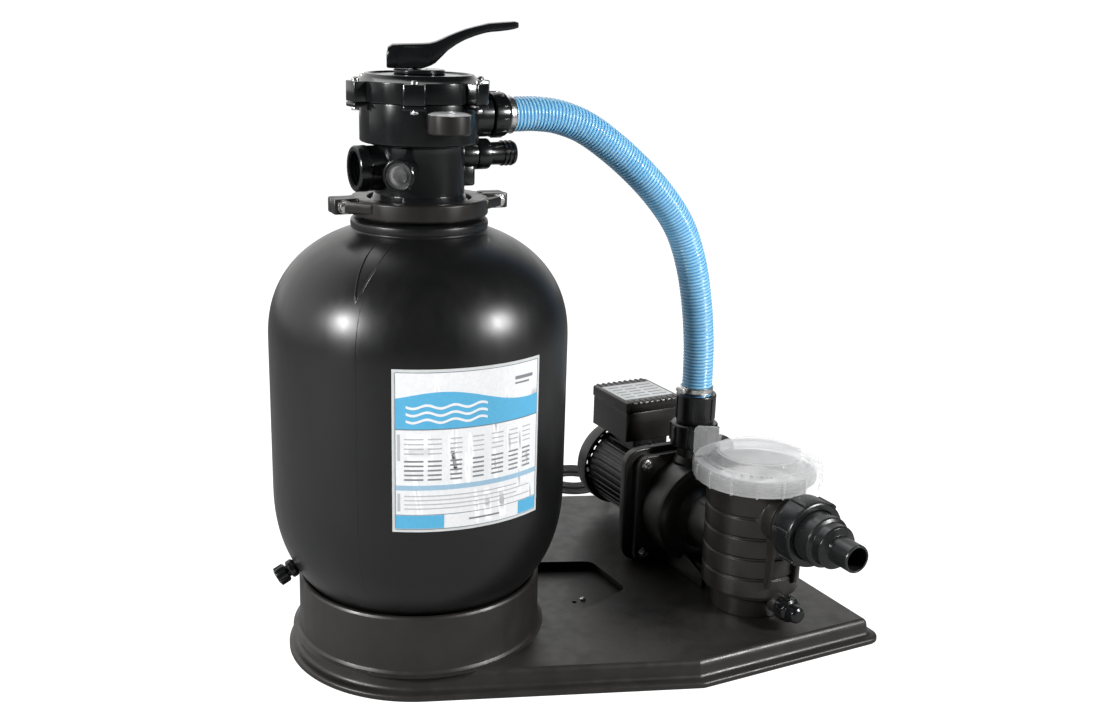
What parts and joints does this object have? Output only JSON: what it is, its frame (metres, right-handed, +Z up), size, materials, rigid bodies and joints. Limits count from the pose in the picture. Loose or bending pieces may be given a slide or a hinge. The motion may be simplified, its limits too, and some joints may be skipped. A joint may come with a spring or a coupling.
{
  "type": "pool sand filter and pump set",
  "caption": "Black moulded sand filter tank with a multiport top valve, joined by a blue hose to a pump with a clear strainer lid and an electric motor on a shared moulded base.",
  "frame": {"origin": "on the floor at the middle of the set's bounding box, free cable and plug left out", "axes": "+Z up, +X along the base's straight front edge from the filter tank towards the pump, +Y to the rear"},
  "size_m": [0.8108, 0.7957, 0.8075],
  "materials": {
    "base_plastic": "moulded brown-black polypropylene with a fine texture",
    "tank_plastic": "satin black blow-moulded polyethylene",
    "valve_plastic": "glossy black moulded ABS",
    "pump_plastic": "glass-filled polypropylene with a slight sheen",
    "clamp_plastic": "satin brown-black moulded plastic",
    "clear_plastic": "clear polycarbonate",
    "inner_plastic": "white moulded plastic",
    "hose_vinyl": "translucent blue spiral-ribbed vinyl",
    "motor_paint": "satin black powder coat",
    "steel": "plain stainless steel",
    "core_steel": "stacked electrical steel laminations",
    "seal_rubber": "black moulded rubber",
    "cable_rubber": "black rubber cable sheath and plug",
    "needle_paint": "red paint"
  },
  "bodies": {
    "base": {"base_platform": "base_plastic", "filter_tank": "tank_plastic", "tank_drain_spigot": "valve_plastic", "standpipe": "inner_plastic", "lateral_collector": "inner_plastic", "neck_o_ring": "seal_rubber", "clamp_half_rear": "clamp_plastic", "clamp_half_front": "clamp_plastic", "clamp_bolt_left": "steel", "clamp_bolt_right": "steel", "valve_body": "valve_plastic", "valve_cover": "valve_plastic", "sight_glass": "clear_plastic", "sight_glass_ring": "valve_plastic", "gauge_body": "clamp_plastic", "gauge_lens": "clear_plastic", "pump_port_tail": "valve_plastic", "return_tail": "valve_plastic", "hose_clamp_upper": "steel", "hose_clamp_lower": "steel", "connecting_hose": "hose_vinyl", "pump_body": "pump_plastic", "suction_tail": "pump_plastic", "discharge_tail": "pump_plastic", "seal_bracket": "pump_plastic", "front_bearing": "steel", "rear_bearing": "steel", "motor_housing": "motor_paint", "stator": "core_steel", "fan_cover": "pump_plastic", "terminal_box": "pump_plastic", "terminal_lid": "pump_plastic", "capacitor": "inner_plastic", "cable_gland": "cable_rubber", "mains_cable": "cable_rubber", "cable_coil": "cable_rubber", "mains_plug": "cable_rubber", "bracket_bolt_1": "steel", "bracket_bolt_2": "steel", "bracket_bolt_3": "steel", "bracket_bolt_4": "steel"},
    "selector": {"thrust_washer": "valve_plastic", "rotor_spring": "steel"},
    "rotor": {"valve_rotor": "inner_plastic", "handle_pin": "steel"},
    "handle": {"valve_handle": "valve_plastic"},
    "needle": {"gauge_needle": "needle_paint"},
    "pump_spindle": {"motor_shaft": "steel", "rotor_core": "core_steel", "impeller": "inner_plastic", "cooling_fan": "pump_plastic", "mechanical_seal": "seal_rubber"},
    "lid_seal": {"lid_o_ring": "seal_rubber"},
    "lid": {"strainer_lid": "clear_plastic"},
    "basket": {"strainer_basket": "inner_plastic"},
    "port_nut": {"pump_port_nut": "valve_plastic"},
    "suction_nut": {"suction_union_nut": "pump_plastic"},
    "discharge_nut": {"discharge_union_nut": "pump_plastic"},
    "tank_cap": {"tank_drain_cap": "valve_plastic"},
    "pot_plug": {"pot_drain_plug": "pump_plastic"}
  },
  "joints": [
    {"name": "selector_turn", "type": "hinge", "parent": "base", "child": "selector", "pos_m": [-0.21736, -0.11546, 0.747], "axis": [0, 0, 1], "continuous": true},
    {"name": "rotor_lift", "type": "slide", "parent": "selector", "child": "rotor", "axis": [0, 0, 1], "range_m": [0, 0.004], "deforming": ["rotor_spring"]},
    {"name": "handle_press", "type": "hinge", "parent": "rotor", "child": "handle", "pos_m": [-0.21736, -0.11546, 0.762], "axis": [0, 1, 0], "range_deg": [0, 18], "stiffness_Nm_per_rad": 2, "springref_deg": -17.19},
    {"name": "gauge_sweep", "type": "hinge", "parent": "base", "child": "needle", "pos_m": [-0.18692, -0.20914, 0.698], "axis": [0, 0, -1], "range_deg": [0, 250], "stiffness_Nm_per_rad": 0.0002},
    {"name": "pump_spin", "type": "hinge", "parent": "base", "child": "pump_spindle", "pos_m": [0.15139, 0.13156, 0.116], "axis": [-0.342, 0.9397, 0], "continuous": true},
    {"name": "lid_lift", "type": "slide", "parent": "base", "child": "lid_seal", "axis": [0, 0, 1], "range_m": [0, 0.2]},
    {"name": "lid_turn", "type": "hinge", "parent": "lid_seal", "child": "lid", "pos_m": [0.24032, -0.11276, 0.23], "axis": [0, 0, 1], "range_deg": [0, 90]},
    {"name": "basket_lift", "type": "slide", "parent": "base", "child": "basket", "axis": [0, 0, 1], "range_m": [0, 0.13]},
    {"name": "port_nut_turn", "type": "hinge", "parent": "base", "child": "port_nut", "pos_m": [-0.12339, -0.08126, 0.694], "axis": [0.9397, 0.342, 0], "continuous": true},
    {"name": "suction_nut_turn", "type": "hinge", "parent": "base", "child": "suction_nut", "pos_m": [0.27794, -0.21613, 0.18], "axis": [0.342, -0.9397, 0], "continuous": true},
    {"name": "discharge_nut_turn", "type": "hinge", "parent": "base", "child": "discharge_nut", "pos_m": [0.18765, 0.03195, 0.23], "axis": [0, 0, 1], "continuous": true},
    {"name": "tank_cap_turn", "type": "hinge", "parent": "base", "child": "tank_cap", "pos_m": [-0.39357, -0.16267, 0.11867], "axis": [-0.8529, -0.2285, -0.4695], "continuous": true},
    {"name": "pot_plug_turn", "type": "hinge", "parent": "base", "child": "pot_plug", "pos_m": [0.2711, -0.19733, 0.057], "axis": [0.342, -0.9397, 0], "continuous": true}
  ],
  "couplings": [
    {"joint": "handle_press", "follows": "rotor_lift", "rad_per_m": 78.54},
    {"joint": "basket_lift", "follows": "lid_lift", "ratio": 0.6}
  ]
}
